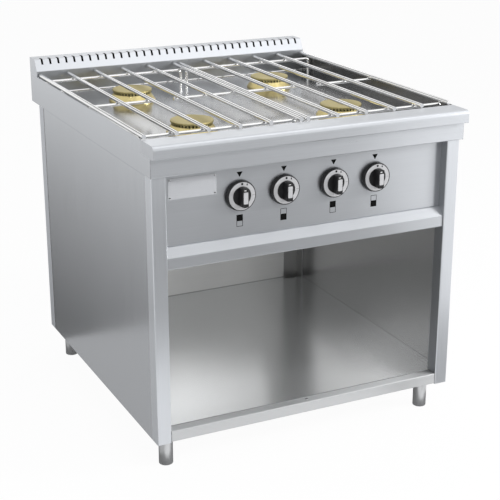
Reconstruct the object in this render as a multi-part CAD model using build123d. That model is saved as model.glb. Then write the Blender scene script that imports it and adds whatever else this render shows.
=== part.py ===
from build123d import *
import math
import os

# Four-burner gas stove on an open cabinet. Millimetres, +X right, +Y to the rear, +Z up.
# The origin is on the floor, under the middle of the hob.

# Hob, from the floor up and from the rail's front to the rear
HOB_WIDTH = 800.0
HOB_DEPTH = 890.0
LEG_HEIGHT = 79.5
POST_HEIGHT = 637.5
STRIP_HEIGHT = 44.0
RAIL_HEIGHT = 30.5
RISER_HEIGHT = 44.5
WELL_DEPTH = 45.5
STRIP_SETBACK = 18.5
RAIL_DEPTH = 70.0
RAIL_NOSE_RADIUS = 10.0
RAIL_LIP = 30.0
SHEET = 1.5
BEND_RADIUS = 2.5

# Flue riser along the rear of the hob
RISER_DEPTH = 61.0
RISER_TOP_DEPTH = 45.0
RISER_SLOPE_HEIGHT = 30.0
SLOT_WIDTH = 5.5
SLOT_PITCH = 22.4
SLOT_END_MARGIN = 19.0
SLOT_DROP = 13.5
SLOT_TOP_LENGTH = 17.0

# Cabinet under the hob
SKIRT_GAP = 4.0
POST_SETBACK = 27.0
REAR_OVERHANG = 50.0
FRONT_POST_WIDTH = 34.5
FRONT_POST_DEPTH = 34.5
REAR_POST_WIDTH = 56.0
REAR_POST_DEPTH = 37.0
REAR_POST_LIP = 16.0
PANEL_SEAM = 1.2
BACK_PANEL_RECESS = 16.5
BASE_HEIGHT = 28.5
BASE_RAIL_WIDTH = 70.0
SHELF_FRONT_SETBACK = 26.5
FRONT_RAIL_SETBACK = 1.5
FRONT_RAIL_TOP_FLANGE = 32.5
FRONT_RAIL_BOTTOM_FLANGE = 21.5
FRONT_RAIL_END_GAP = 1.0
FRONT_RAIL_FOOT_GAP = 1.0

# Legs and levelling feet
LEG_RADIUS = 17.0
LEG_INSET_SIDE = 41.0
LEG_INSET_FRONT = 56.0
LEG_INSET_REAR = 49.0
FOOT_HEIGHT = 14.0
FOOT_EDGE_RADIUS = 2.5
STEM_RADIUS = 6.0
STEM_LENGTH = 52.0
BUSH_HEIGHT = 22.0

# Control panel, the ledge under it and the data plate
PANEL_SETBACK = 51.0
PANEL_TUCK = 29.0
LEDGE_TOP_HEIGHT = 553.0
LEDGE_SLOPE_DROP = 25.0
LEDGE_FACE_HEIGHT = 28.0
LEDGE_REACH = 20.0
LEDGE_BEND_RADIUS = 4.0
LEDGE_TUCK = 26.0
LEDGE_BOTTOM_FLANGE = 30.5
PLATE_WIDTH = 116.0
PLATE_HEIGHT = 48.0
PLATE_THICKNESS = 0.8
PLATE_LEFT_INSET = 13.5
PLATE_TOP_INSET = 14.0
RIVET_RADIUS = 2.2
RIVET_HEIGHT = 0.9
RIVET_INSET = 4.5

# Knobs, measured from the panel's face
KNOB_DROP = 71.5
KNOB_INNER_SPACING = 129.0
KNOB_PAIR_SPACING = 111.0
KNOB_PUSH = 4.0
KNOB_STOP_GAP = 0.5
KNOB_SKIRT_DEPTH = 8.5
KNOB_SKIRT_RADIUS = 36.0
KNOB_FACE_RADIUS = 34.2
KNOB_WALL = 2.5
KNOB_EDGE_RADIUS = 0.8
DIAL_OUTER_RADIUS = 32.2
DIAL_INNER_RADIUS = 22.5
DIAL_THICKNESS = 0.8
DIAL_PROUD = 0.3
GRIP_WIDTH = 15.0
GRIP_HEIGHT = 20.0
GRIP_EDGE_RADIUS = 1.5
INSERT_WIDTH = 11.0
INSERT_LENGTH = 27.0
INSERT_THICKNESS = 0.8
INSERT_PROUD = 0.3
INSERT_CORNER_RADIUS = 2.0
BOSS_RADIUS = 8.0

# Gas taps behind the panel
SPINDLE_RADIUS = 4.0
SPINDLE_HOLE_RADIUS = 7.0
SPINDLE_INTO_GRIP = 9.0
SPINDLE_INTO_PLUG = 26.0
PLUG_RADIUS = 9.95
PLUG_LENGTH = 34.0
PLUG_FRONT_GAP = 2.0
PLUG_END_GAP = 0.5
PLUG_BORE_DEPTH = 31.0
TAP_RADIUS = 15.0
TAP_END_WALL = 5.0
TAP_FLANGE_RADIUS = 18.0
TAP_FLANGE_THICKNESS = 3.5
TAP_STUB_RADIUS = 7.0
OUTLET_RADIUS = 6.5
OUTLET_TOP = 28.0
OUTLET_DEPTH = 31.5
RUNNING_CLEARANCE = 0.05

# Gas pipes
MANIFOLD_RADIUS = 13.5
MANIFOLD_WALL = 2.5
MANIFOLD_GAP = 13.5
MANIFOLD_LEFT_END = -250.0
BRACKET_X = 225.0
BRACKET_WIDTH = 24.0
BRACKET_THICKNESS = 3.0
BRACKET_DROP = 32.0
INLET_POST_GAP = 34.0
INLET_ELBOW = 30.0
INLET_RADIUS = 10.65
INLET_BORE = 8.0
INLET_BEND_RADIUS = 24.0
INLET_HOLE_CLEARANCE = 1.0
THREAD_RADIUS = 10.48
THREAD_LENGTH = 20.0
INLET_END_SETBACK = 22.0
TUBE_RADIUS = 4.0
TUBE_WALL = 1.0
TUBE_BEND_RADIUS = 14.0
TUBE_SEAT = 9.0
TUBE_TURN = 36.0
TUBE_BYPASS = 75.0
TUBE_BYPASS_END = 92.0
TUBE_RETURN = 40.0

# Burners
BURNER_X = 200.0
FRONT_BURNER_SETBACK = 258.0
REAR_BURNER_SETBACK = 650.0
BASE_RADIUS = 60.5
BASE_RIM = 3.0
CROWN_RADIUS = 49.0
CROWN_HEIGHT = 20.0
CROWN_BORE = 40.0
CROWN_BORE_DEPTH = 11.0
NECK_RADIUS = 32.0
NECK_WALL = 4.0
NECK_LENGTH = 24.0
NECK_SHOULDER = 5.0
NECK_CLEARANCE = 0.3
NECK_HOLE_CLEARANCE = 1.0
CAP_RADIUS = 51.0
CAP_THICKNESS = 4.5
CAP_EDGE_RADIUS = 1.2
PORT_COUNT = 36
PORT_WIDTH = 4.0
PORT_HEIGHT = 6.5
PORT_WALL = 9.0
SPIGOT_CLEARANCE = 0.4
SPIGOT_WALL = 4.0
SPIGOT_LENGTH = 6.0
MIXER_WALL = 4.0
MIXER_DEPTH = 50.0
MIXER_OVERLAP = 18.0
VENTURI_DROP = 41.0
VENTURI_RADIUS = 18.0
VENTURI_BORE = 13.0
VENTURI_REACH = 85.0
INJECTOR_RADIUS = 8.0
INJECTOR_LENGTH = 20.0
INJECTOR_SOCKET = 10.0
NOZZLE_RADIUS = 4.0
NOZZLE_LENGTH = 8.0
NOZZLE_ENTRY = 6.0
JET_RADIUS = 1.0

# Grates of round rods
ROD_RADIUS = 5.0
CROSS_ROD_RADIUS = 4.0
RODS_PER_GRATE = 6
ROD_SINK = 0.5
GRATE_SIDE_GAP = 2.0
GRATE_MIDDLE_GAP = 8.0
GRATE_FRONT_GAP = 3.0
GRATE_REAR_GAP = 4.0
CROSS_FRONT_INSET = 34.0
CROSS_REAR_INSET = 45.0
CROSS_MIDDLE_SETBACK = 440.0
CROSS_OVERHANG = 8.0
CROSS_BEND_RADIUS = 9.0

# Screws
SCREW_RADIUS = 4.0
SCREW_HEAD = 1.6
SCREW_EDGE_RADIUS = 0.8
SHELF_SCREW_SETBACK = 16.5
BACK_SCREW_INSET = 8.0
BACK_SCREW_ROWS = 4
BACK_SCREW_END_MARGIN = 60.0

# Levels worked out from the sizes above
strip_z = LEG_HEIGHT + POST_HEIGHT
knob_z = strip_z - KNOB_DROP
rail_z = strip_z + STRIP_HEIGHT
top_z = rail_z + RAIL_HEIGHT
riser_z = top_z + RISER_HEIGHT
well_z = top_z - WELL_DEPTH
cabinet_top_z = well_z - SHEET
shelf_seat_z = LEG_HEIGHT + BASE_HEIGHT
shelf_z = shelf_seat_z + SHEET

# Planes across the depth
front_y = -HOB_DEPTH / 2
rear_y = HOB_DEPTH / 2
strip_y = front_y + STRIP_SETBACK
post_y = front_y + POST_SETBACK
post_back_y = post_y + FRONT_POST_DEPTH
panel_y = front_y + PANEL_SETBACK
panel_back_y = panel_y + SHEET
well_front_y = front_y + RAIL_DEPTH
well_rear_y = rear_y - RISER_DEPTH
cabinet_rear_y = rear_y - REAR_OVERHANG
rear_post_y = cabinet_rear_y - REAR_POST_DEPTH
back_panel_y = cabinet_rear_y - BACK_PANEL_RECESS - SHEET
lip_y = back_panel_y + SHEET
burner_front_y = front_y + FRONT_BURNER_SETBACK
burner_rear_y = front_y + REAR_BURNER_SETBACK

# Planes across the width
hob_x = HOB_WIDTH / 2
hob_inner_x = hob_x - SHEET
cabinet_x = hob_x - SKIRT_GAP
side_inner_x = cabinet_x - SHEET
post_inner_x = cabinet_x - FRONT_POST_WIDTH
rear_post_inner_x = cabinet_x - REAR_POST_WIDTH
inlet_x = rear_post_inner_x - INLET_POST_GAP
manifold_end_x = inlet_x - INLET_ELBOW
leg_x = cabinet_x - LEG_INSET_SIDE
leg_ys = {"front": post_y + LEG_INSET_FRONT, "rear": cabinet_rear_y - LEG_INSET_REAR}
sides = {"left": -1, "right": 1}

# Each knob works one burner: rear then front on each half of the panel
inner_x = KNOB_INNER_SPACING / 2
outer_x = inner_x + KNOB_PAIR_SPACING
burners = {
    "rear_left": (-outer_x, -BURNER_X, burner_rear_y),
    "front_left": (-inner_x, -BURNER_X, burner_front_y),
    "rear_right": (inner_x, BURNER_X, burner_rear_y),
    "front_right": (outer_x, BURNER_X, burner_front_y),
}


def block(x_low, x_high, y_low, y_high, z_low, z_high):
    """Box between two corners."""
    size = (x_high - x_low, y_high - y_low, z_high - z_low)
    middle = ((x_low + x_high) / 2, (y_low + y_high) / 2, (z_low + z_high) / 2)
    return Pos(*middle) * Box(*size)


def upright(radius, x, y, z_low, z_high):
    """Round bar standing along Z."""
    return Pos(x, y, (z_low + z_high) / 2) * Cylinder(radius, z_high - z_low)


def rod_along_y(radius, x, z, y_low, y_high):
    """Round bar lying along Y."""
    return Pos(x, (y_low + y_high) / 2, z) * Rot(90, 0, 0) * Cylinder(radius, y_high - y_low)


def rod_along_x(radius, y, z, x_low, x_high):
    """Round bar lying along X."""
    return Pos((x_low + x_high) / 2, y, z) * Rot(0, 90, 0) * Cylinder(radius, x_high - x_low)


def across(face, x_low, x_high):
    """Section in (y, z) pushed out along X."""
    return Pos(x_low, 0, 0) * extrude(Plane.YZ * face, amount=x_high - x_low)


def plate(points, x_low, x_high):
    """Flat plate with a straight-edged outline in (y, z), standing across X."""
    return across(make_face(Polyline(*points, close=True)), x_low, x_high)


def bent_section(points, radii, inside):
    """Section of one folded sheet whose outer face follows the points in (y, z)."""
    line = FilletPolyline(*points, radius=radii)
    return make_face(offset(line, amount=SHEET, side=inside).edges())


def bent_sheet(points, radii, inside, x_low, x_high):
    """One folded sheet along X."""
    return across(bent_section(points, radii, inside), x_low, x_high)


def turned(points):
    """Solid of revolution about Z from a closed outline of (radius, height) points."""
    outline = make_face(Plane.XZ * Polyline(*points, close=True))
    return revolve(outline, axis=Axis.Z)


def mirrored(sign, x_low, x_high):
    """The same span on the left or the right half."""
    return (x_low, x_high) if sign > 0 else (-x_high, -x_low)


def knob_place(x):
    """Frame on the panel's face: x right, y up, z out towards the cook."""
    return Pos(x, panel_y, knob_z) * Rot(90, 0, 0)


def post_block(span_x, span_y, outer_edges):
    """Post's outer form, with rounded edges on its outer face."""
    outer = block(*span_x, *span_y, LEG_HEIGHT, cabinet_top_z)
    edges = outer.edges().filter_by(Axis.Z).group_by(Axis.Y)
    return fillet(edges[outer_edges], BEND_RADIUS)


def make_front_post(sign):
    """Folded square post, closed at its foot."""
    span = mirrored(sign, post_inner_x, cabinet_x)
    hollow = block(
        span[0] + SHEET, span[1] - SHEET, post_y + SHEET, post_back_y - SHEET, LEG_HEIGHT + SHEET, cabinet_top_z
    )
    return post_block(span, (post_y, post_back_y), 0) - hollow


def make_rear_post(sign):
    """Folded channel, open to the inside, with a foot plate and a lip for the back panel."""
    fold_x = rear_post_inner_x + SHEET
    floor_z = LEG_HEIGHT + SHEET
    channel = block(
        *mirrored(sign, fold_x, side_inner_x), rear_post_y, cabinet_rear_y - SHEET, floor_z, cabinet_top_z
    )
    mouth = block(*mirrored(sign, rear_post_inner_x, fold_x), rear_post_y, lip_y, floor_z, cabinet_top_z)
    lip = block(
        *mirrored(sign, rear_post_inner_x - REAR_POST_LIP, rear_post_inner_x),
        lip_y, lip_y + SHEET, LEG_HEIGHT, cabinet_top_z,
    )
    span = mirrored(sign, rear_post_inner_x, cabinet_x)
    return post_block(span, (rear_post_y, cabinet_rear_y), -1) - channel - mouth + lip


def deck_outline(front):
    """Outline of a deck that fills the cabinet between the posts, from a given front edge."""
    half = [
        (post_inner_x, front), (post_inner_x, post_back_y), (side_inner_x, post_back_y),
        (side_inner_x, rear_post_y), (rear_post_inner_x, rear_post_y), (rear_post_inner_x, back_panel_y),
    ]
    other = [(-x, y) for x, y in reversed(half)]
    return make_face(Polyline(*half, *other, close=True))


def make_cabinet():
    """Posts, panels, shelf and the deck that closes the gas space."""
    parts = {}
    for side, sign in sides.items():
        parts[f"front_post_{side}"] = make_front_post(sign)
        parts[f"rear_post_{side}"] = make_rear_post(sign)
        parts[f"side_panel_{side}"] = block(
            *mirrored(sign, side_inner_x, cabinet_x),
            post_back_y, rear_post_y - PANEL_SEAM, LEG_HEIGHT, cabinet_top_z,
        )
        base_span = mirrored(sign, side_inner_x - BASE_RAIL_WIDTH, side_inner_x)
        base = block(*base_span, post_back_y, rear_post_y, LEG_HEIGHT, shelf_seat_z)
        hollow = block(
            base_span[0] + SHEET, base_span[1] - SHEET, post_back_y, rear_post_y,
            LEG_HEIGHT + SHEET, shelf_seat_z - SHEET,
        )
        parts[f"base_rail_{side}"] = base - hollow
    back = block(-rear_post_inner_x, rear_post_inner_x, back_panel_y, lip_y, LEG_HEIGHT, cabinet_top_z)
    inlet_hole = rod_along_y(
        INLET_RADIUS + INLET_HOLE_CLEARANCE, inlet_x, knob_z, back_panel_y - SHEET, cabinet_rear_y
    )
    parts["back_panel"] = back - inlet_hole
    shelf_outline = deck_outline(post_y + SHELF_FRONT_SETBACK)
    parts["bottom_shelf"] = Pos(0, 0, shelf_seat_z) * extrude(shelf_outline, amount=SHEET)
    rail_y = post_y + FRONT_RAIL_SETBACK
    foot_z = LEG_HEIGHT + FRONT_RAIL_FOOT_GAP
    rail_end = post_inner_x - FRONT_RAIL_END_GAP
    parts["bottom_front_rail"] = bent_sheet(
        [
            (rail_y + FRONT_RAIL_TOP_FLANGE, shelf_seat_z), (rail_y, shelf_seat_z),
            (rail_y, foot_z), (rail_y + FRONT_RAIL_BOTTOM_FLANGE, foot_z),
        ],
        [BEND_RADIUS, BEND_RADIUS], Side.LEFT, -rail_end, rail_end,
    )
    ceiling_z = LEDGE_TOP_HEIGHT - LEDGE_SLOPE_DROP - LEDGE_FACE_HEIGHT + SHEET
    ceiling = extrude(deck_outline(panel_back_y), amount=SHEET)
    parts["compartment_ceiling"] = Pos(0, 0, ceiling_z) * ceiling
    return parts


def make_legs():
    """Four leg tubes with threaded bushes, and the feet that screw into them."""
    tubes = []
    bushes = []
    feet = {}
    for side, sign in sides.items():
        for end, y in leg_ys.items():
            x = sign * leg_x
            bore = LEG_RADIUS - SHEET
            tube = upright(LEG_RADIUS, x, y, FOOT_HEIGHT, LEG_HEIGHT)
            tubes.append(tube - upright(bore, x, y, FOOT_HEIGHT, LEG_HEIGHT))
            bush = upright(bore, x, y, FOOT_HEIGHT, FOOT_HEIGHT + BUSH_HEIGHT)
            thread = upright(STEM_RADIUS + RUNNING_CLEARANCE, x, y, FOOT_HEIGHT, FOOT_HEIGHT + BUSH_HEIGHT)
            bushes.append(bush - thread)
            pad = upright(LEG_RADIUS, x, y, 0, FOOT_HEIGHT)
            pad = fillet(pad.edges().sort_by(Axis.Z)[0], FOOT_EDGE_RADIUS)
            stem = upright(STEM_RADIUS, x, y, FOOT_HEIGHT, FOOT_HEIGHT + STEM_LENGTH)
            feet[f"foot_{end}_{side}"] = pad + stem
    return {"leg_tubes": Compound(children=tubes), "leg_bushes": Compound(children=bushes), **feet}


def make_hob():
    """Rail, strip, skirts, riser, rear panel and the sunken well."""
    parts = {}
    rail = bent_sheet(
        [
            (front_y + RAIL_LIP, rail_z), (front_y, rail_z), (front_y, top_z),
            (well_front_y, top_z), (well_front_y, cabinet_top_z),
        ],
        [BEND_RADIUS, RAIL_NOSE_RADIUS, BEND_RADIUS], Side.RIGHT, -hob_inner_x, hob_inner_x,
    )
    end_line = FilletPolyline(
        (front_y, rail_z), (front_y, top_z), (well_front_y, top_z), (well_front_y, rail_z),
        radius=[RAIL_NOSE_RADIUS, BEND_RADIUS],
    )
    end_face = make_face([*end_line.edges(), Line((well_front_y, rail_z), (front_y, rail_z))])
    for sign in sides.values():
        rail += across(end_face, *mirrored(sign, hob_inner_x, hob_x))
    parts["hob_front_rail"] = rail
    parts["hob_front_strip"] = bent_sheet(
        [(strip_y, rail_z), (strip_y, strip_z), (post_y, strip_z)],
        [BEND_RADIUS], Side.LEFT, -hob_inner_x, hob_inner_x,
    )
    panel_end_y = rear_y - SHEET
    skirt_points = [
        (strip_y, strip_z), (strip_y, rail_z), (well_front_y, rail_z),
        (well_front_y, top_z), (panel_end_y, top_z), (panel_end_y, strip_z),
    ]
    for side, sign in sides.items():
        parts[f"hob_side_{side}"] = plate(skirt_points, *mirrored(sign, hob_inner_x, hob_x))
    rear = block(-hob_x, hob_x, panel_end_y, rear_y, strip_z, riser_z)
    rear += block(-hob_inner_x, hob_inner_x, cabinet_rear_y, panel_end_y, strip_z, strip_z + SHEET)
    parts["hob_rear_panel"] = rear
    slope_y = rear_y - RISER_TOP_DEPTH
    slope_z = riser_z - RISER_SLOPE_HEIGHT
    riser = bent_sheet(
        [(well_rear_y, cabinet_top_z), (well_rear_y, slope_z), (slope_y, riser_z), (panel_end_y, riser_z)],
        [BEND_RADIUS, BEND_RADIUS], Side.RIGHT, -hob_inner_x, hob_inner_x,
    )
    end_points = [
        (well_rear_y, top_z), (well_rear_y, slope_z), (slope_y, riser_z),
        (panel_end_y, riser_z), (panel_end_y, top_z),
    ]
    for sign in sides.values():
        riser += plate(end_points, *mirrored(sign, hob_inner_x, hob_x))
    slot_reach = hob_x - SLOT_END_MARGIN
    slot_gaps = int(2 * slot_reach / SLOT_PITCH)
    for number in range(slot_gaps + 1):
        x = (number - slot_gaps / 2) * SLOT_PITCH
        riser -= block(
            x - SLOT_WIDTH / 2, x + SLOT_WIDTH / 2,
            well_rear_y, slope_y + SLOT_TOP_LENGTH, riser_z - SLOT_DROP, riser_z + SHEET,
        )
    parts["riser"] = riser
    well = block(-hob_inner_x, hob_inner_x, well_front_y, well_rear_y, cabinet_top_z, well_z)
    for _, x, y in burners.values():
        well -= upright(NECK_RADIUS + NECK_HOLE_CLEARANCE, x, y, cabinet_top_z, well_z)
    parts["hob_well"] = well
    return parts


def make_panel():
    """Control panel with spindle holes, the ledge under it and the riveted data plate."""
    panel = block(
        -post_inner_x, post_inner_x, panel_y, panel_back_y, LEDGE_TOP_HEIGHT - PANEL_TUCK, cabinet_top_z
    )
    for x, _, _ in burners.values():
        panel -= rod_along_y(SPINDLE_HOLE_RADIUS, x, knob_z, panel_y, panel_back_y)
    nose_z = LEDGE_TOP_HEIGHT - LEDGE_SLOPE_DROP
    nose_y = panel_y - LEDGE_REACH
    under_z = nose_z - LEDGE_FACE_HEIGHT
    ledge = bent_sheet(
        [
            (panel_y, LEDGE_TOP_HEIGHT - LEDGE_TUCK), (panel_y, LEDGE_TOP_HEIGHT), (nose_y, nose_z),
            (nose_y, under_z), (nose_y + LEDGE_BOTTOM_FLANGE, under_z),
        ],
        [BEND_RADIUS, LEDGE_BEND_RADIUS, BEND_RADIUS], Side.LEFT, -post_inner_x, post_inner_x,
    )
    plate_left = -post_inner_x + PLATE_LEFT_INSET
    plate_right = plate_left + PLATE_WIDTH
    plate_top = strip_z - PLATE_TOP_INSET
    plate_bottom = plate_top - PLATE_HEIGHT
    plate_y = panel_y - PLATE_THICKNESS
    rivets = []
    for x in (plate_left + RIVET_INSET, plate_right - RIVET_INSET):
        for z in (plate_bottom + RIVET_INSET, plate_top - RIVET_INSET):
            rivet = rod_along_y(RIVET_RADIUS, x, z, plate_y - RIVET_HEIGHT, plate_y)
            front_edge = rivet.edges().sort_by(Axis.Y)[0]
            rivets.append(fillet(front_edge, RIVET_HEIGHT / 2))
    return {
        "control_panel": panel,
        "ledge": ledge,
        "data_plate": block(plate_left, plate_right, plate_y, panel_y, plate_bottom, plate_top),
        "plate_rivets": Compound(children=rivets),
    }


def make_knob(x):
    """Black knob with its dial ring and grip insert, the spindle and the tap plug behind it."""
    rim = KNOB_PUSH + KNOB_STOP_GAP
    face = rim + KNOB_SKIRT_DEPTH
    grip_front = face + GRIP_HEIGHT
    seat = face + DIAL_PROUD - DIAL_THICKNESS
    inner_face = face - KNOB_WALL
    inner_radius = KNOB_FACE_RADIUS - KNOB_WALL
    shell = turned([
        (0, rim), (BOSS_RADIUS, rim), (BOSS_RADIUS, inner_face), (inner_radius, inner_face),
        (KNOB_SKIRT_RADIUS - KNOB_WALL, rim), (KNOB_SKIRT_RADIUS, rim), (KNOB_FACE_RADIUS, face), (0, face),
    ])
    shell = fillet(shell.edges().filter_by(GeomType.CIRCLE).group_by(SortBy.RADIUS)[-1], KNOB_EDGE_RADIUS)
    ring_gap = Pos(0, 0, seat) * (
        Cylinder(DIAL_OUTER_RADIUS, KNOB_WALL, align=(Align.CENTER, Align.CENTER, Align.MIN))
        - Cylinder(DIAL_INNER_RADIUS, KNOB_WALL, align=(Align.CENTER, Align.CENTER, Align.MIN))
    )
    hub = Pos(0, 0, inner_face) * Cylinder(
        DIAL_INNER_RADIUS, grip_front - inner_face, align=(Align.CENTER, Align.CENTER, Align.MIN)
    )
    bar = block(
        -GRIP_WIDTH / 2, GRIP_WIDTH / 2, -DIAL_INNER_RADIUS, DIAL_INNER_RADIUS, inner_face, grip_front
    )
    grip = hub & bar
    grip = fillet(grip.faces().sort_by(Axis.Z)[-1].edges(), GRIP_EDGE_RADIUS)
    insert_face = RectangleRounded(INSERT_WIDTH, INSERT_LENGTH, INSERT_CORNER_RADIUS)
    insert_base = grip_front + INSERT_PROUD - INSERT_THICKNESS
    insert = Pos(0, 0, insert_base) * extrude(insert_face, amount=INSERT_THICKNESS)
    socket_top = face + SPINDLE_INTO_GRIP
    socket = upright(SPINDLE_RADIUS, 0, 0, rim, socket_top)
    knob = shell - ring_gap + grip - insert - socket
    ring = Pos(0, 0, seat) * extrude(Circle(DIAL_OUTER_RADIUS) - Circle(DIAL_INNER_RADIUS), amount=DIAL_THICKNESS)
    plug_front = -SHEET - PLUG_FRONT_GAP
    spindle = upright(SPINDLE_RADIUS, 0, 0, plug_front - SPINDLE_INTO_PLUG, socket_top)
    plug = upright(PLUG_RADIUS, 0, 0, plug_front - PLUG_LENGTH, plug_front)
    plug -= upright(SPINDLE_RADIUS + RUNNING_CLEARANCE, 0, 0, plug_front - PLUG_BORE_DEPTH, plug_front)
    place = knob_place(x)
    trim = Compound(children=[place * ring, place * insert])
    return {"knob": place * knob, "knob_trim": trim, "spindle": place * spindle, "tap_plug": place * plug}


# Depth of the tap behind the panel's face, down to its rear wall, and the manifold's axis
tap_bore_depth = SHEET + PLUG_FRONT_GAP + PLUG_LENGTH + PLUG_END_GAP
tap_depth = tap_bore_depth + TAP_END_WALL
manifold_y = panel_y + tap_depth + MANIFOLD_GAP + MANIFOLD_RADIUS


def make_tap_body(x):
    """Brass tap body: flange on the panel, plug bore, stub into the manifold and an outlet on top."""
    flange = upright(TAP_FLANGE_RADIUS, 0, 0, -SHEET - TAP_FLANGE_THICKNESS, -SHEET)
    barrel = upright(TAP_RADIUS, 0, 0, -tap_depth, -SHEET)
    stub = upright(TAP_STUB_RADIUS, 0, 0, -tap_depth - MANIFOLD_GAP - MANIFOLD_WALL / 2, -tap_depth)
    bore = upright(PLUG_RADIUS + RUNNING_CLEARANCE, 0, 0, -tap_bore_depth, -SHEET)
    outlet = Pos(0, OUTLET_TOP / 2, -OUTLET_DEPTH) * Rot(90, 0, 0) * Cylinder(OUTLET_RADIUS, OUTLET_TOP)
    seat = Pos(0, OUTLET_TOP - TUBE_SEAT / 2, -OUTLET_DEPTH) * Rot(90, 0, 0) * Cylinder(TUBE_RADIUS, TUBE_SEAT)
    return knob_place(x) * (flange + barrel + stub + outlet - bore - seat)


def tube_along(points, radius, bend_radius, bore):
    """Pipe of a round section along straight runs with rounded corners."""
    path = FilletPolyline(*points, radius=bend_radius)
    start = Plane(origin=path @ 0, z_dir=path % 0)
    return sweep(start * (Circle(radius) - Circle(bore)), path=path)


def make_gas_pipes():
    """Manifold on brackets, inlet pipe out of the rear, and a tube from each tap to its injector."""
    manifold = rod_along_x(MANIFOLD_RADIUS, manifold_y, knob_z, MANIFOLD_LEFT_END, manifold_end_x)
    manifold -= rod_along_x(
        MANIFOLD_RADIUS - MANIFOLD_WALL, manifold_y, knob_z,
        MANIFOLD_LEFT_END + MANIFOLD_WALL, manifold_end_x - MANIFOLD_WALL,
    )
    manifold -= rod_along_x(
        INLET_BORE, manifold_y, knob_z, manifold_end_x - MANIFOLD_WALL, manifold_end_x
    )
    for x, _, _ in burners.values():
        manifold -= rod_along_y(
            TAP_STUB_RADIUS, x, knob_z, manifold_y - MANIFOLD_RADIUS - MANIFOLD_WALL, manifold_y
        )
    brackets = []
    for sign in sides.values():
        span = (sign * BRACKET_X - BRACKET_WIDTH / 2, sign * BRACKET_X + BRACKET_WIDTH / 2)
        arm_z = knob_z - MANIFOLD_RADIUS
        arm = block(*span, panel_back_y, manifold_y + MANIFOLD_RADIUS, arm_z - BRACKET_THICKNESS, arm_z)
        tab = block(*span, panel_back_y, panel_back_y + BRACKET_THICKNESS, arm_z - BRACKET_DROP, arm_z)
        brackets.append(arm + tab)
    inlet_end_y = rear_y - INLET_END_SETBACK
    thread_y = inlet_end_y - THREAD_LENGTH
    inlet = tube_along(
        [
            (manifold_end_x, manifold_y, knob_z), (inlet_x, manifold_y, knob_z),
            (inlet_x, thread_y, knob_z),
        ],
        INLET_RADIUS, INLET_BEND_RADIUS, INLET_BORE,
    )
    thread = rod_along_y(THREAD_RADIUS, inlet_x, knob_z, thread_y, inlet_end_y)
    thread -= rod_along_y(INLET_BORE, inlet_x, knob_z, thread_y, inlet_end_y)
    tubes = []
    outlet_y = panel_y + OUTLET_DEPTH
    seat_z = knob_z + OUTLET_TOP - TUBE_SEAT
    run_z = well_z - VENTURI_DROP
    for knob_x, x, y in burners.values():
        end_y = y - VENTURI_REACH + NOZZLE_ENTRY - NOZZLE_LENGTH - INJECTOR_LENGTH + INJECTOR_SOCKET
        turn_y = outlet_y + TUBE_TURN
        points = [(knob_x, outlet_y, seat_z), (knob_x, outlet_y, run_z)]
        if y == burner_rear_y:
            bypass_x = x - TUBE_BYPASS
            back_y = end_y - TUBE_BYPASS_END
            points += [(bypass_x, turn_y, run_z), (bypass_x, back_y, run_z)]
            points += [(x, back_y + TUBE_RETURN, run_z)]
        else:
            points += [(x, turn_y, run_z)]
        points += [(x, end_y, run_z)]
        tubes.append(tube_along(points, TUBE_RADIUS, TUBE_BEND_RADIUS, TUBE_RADIUS - TUBE_WALL))
    return {
        "manifold": manifold,
        "manifold_brackets": Compound(children=brackets),
        "gas_inlet_pipe": inlet + thread,
        "gas_tubes": Compound(children=tubes),
    }


def make_burner_base():
    """Flared brass base on the well floor, with its neck through the floor and a seat for the cap."""
    neck_bore = NECK_RADIUS - NECK_WALL
    return turned([
        (neck_bore, -NECK_LENGTH), (NECK_RADIUS, -NECK_LENGTH), (NECK_RADIUS, 0), (BASE_RADIUS, 0),
        (BASE_RADIUS, BASE_RIM), (CROWN_RADIUS, CROWN_HEIGHT), (CROWN_BORE, CROWN_HEIGHT),
        (CROWN_BORE, CROWN_HEIGHT - CROWN_BORE_DEPTH), (neck_bore, NECK_SHOULDER),
    ])


def make_burner_cap():
    """Lift-off brass cap: round top, ring of flame ports under its rim, and a spigot in the base."""
    under = CROWN_HEIGHT + PORT_HEIGHT
    top = under + CAP_THICKNESS
    spigot_radius = CROWN_BORE - SPIGOT_CLEARANCE
    port_radius = spigot_radius + PORT_WALL
    disc = turned([
        (0, under), (spigot_radius - SPIGOT_WALL, under),
        (spigot_radius - SPIGOT_WALL, CROWN_HEIGHT - SPIGOT_LENGTH), (spigot_radius, CROWN_HEIGHT - SPIGOT_LENGTH),
        (spigot_radius, CROWN_HEIGHT), (port_radius, CROWN_HEIGHT), (port_radius, under),
        (CAP_RADIUS, under), (CAP_RADIUS, top), (0, top),
    ])
    rims = disc.edges().filter_by(GeomType.CIRCLE).group_by(SortBy.RADIUS)[-1]
    disc = fillet(rims.sort_by(Axis.Z)[-1], CAP_EDGE_RADIUS)
    for number in range(PORT_COUNT):
        angle = 360 * number / PORT_COUNT
        port = block(
            spigot_radius - SPIGOT_WALL - SHEET, port_radius + SHEET,
            -PORT_WIDTH / 2, PORT_WIDTH / 2, CROWN_HEIGHT - SHEET, under,
        )
        disc -= Rot(0, 0, angle) * port
    return disc


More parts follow.
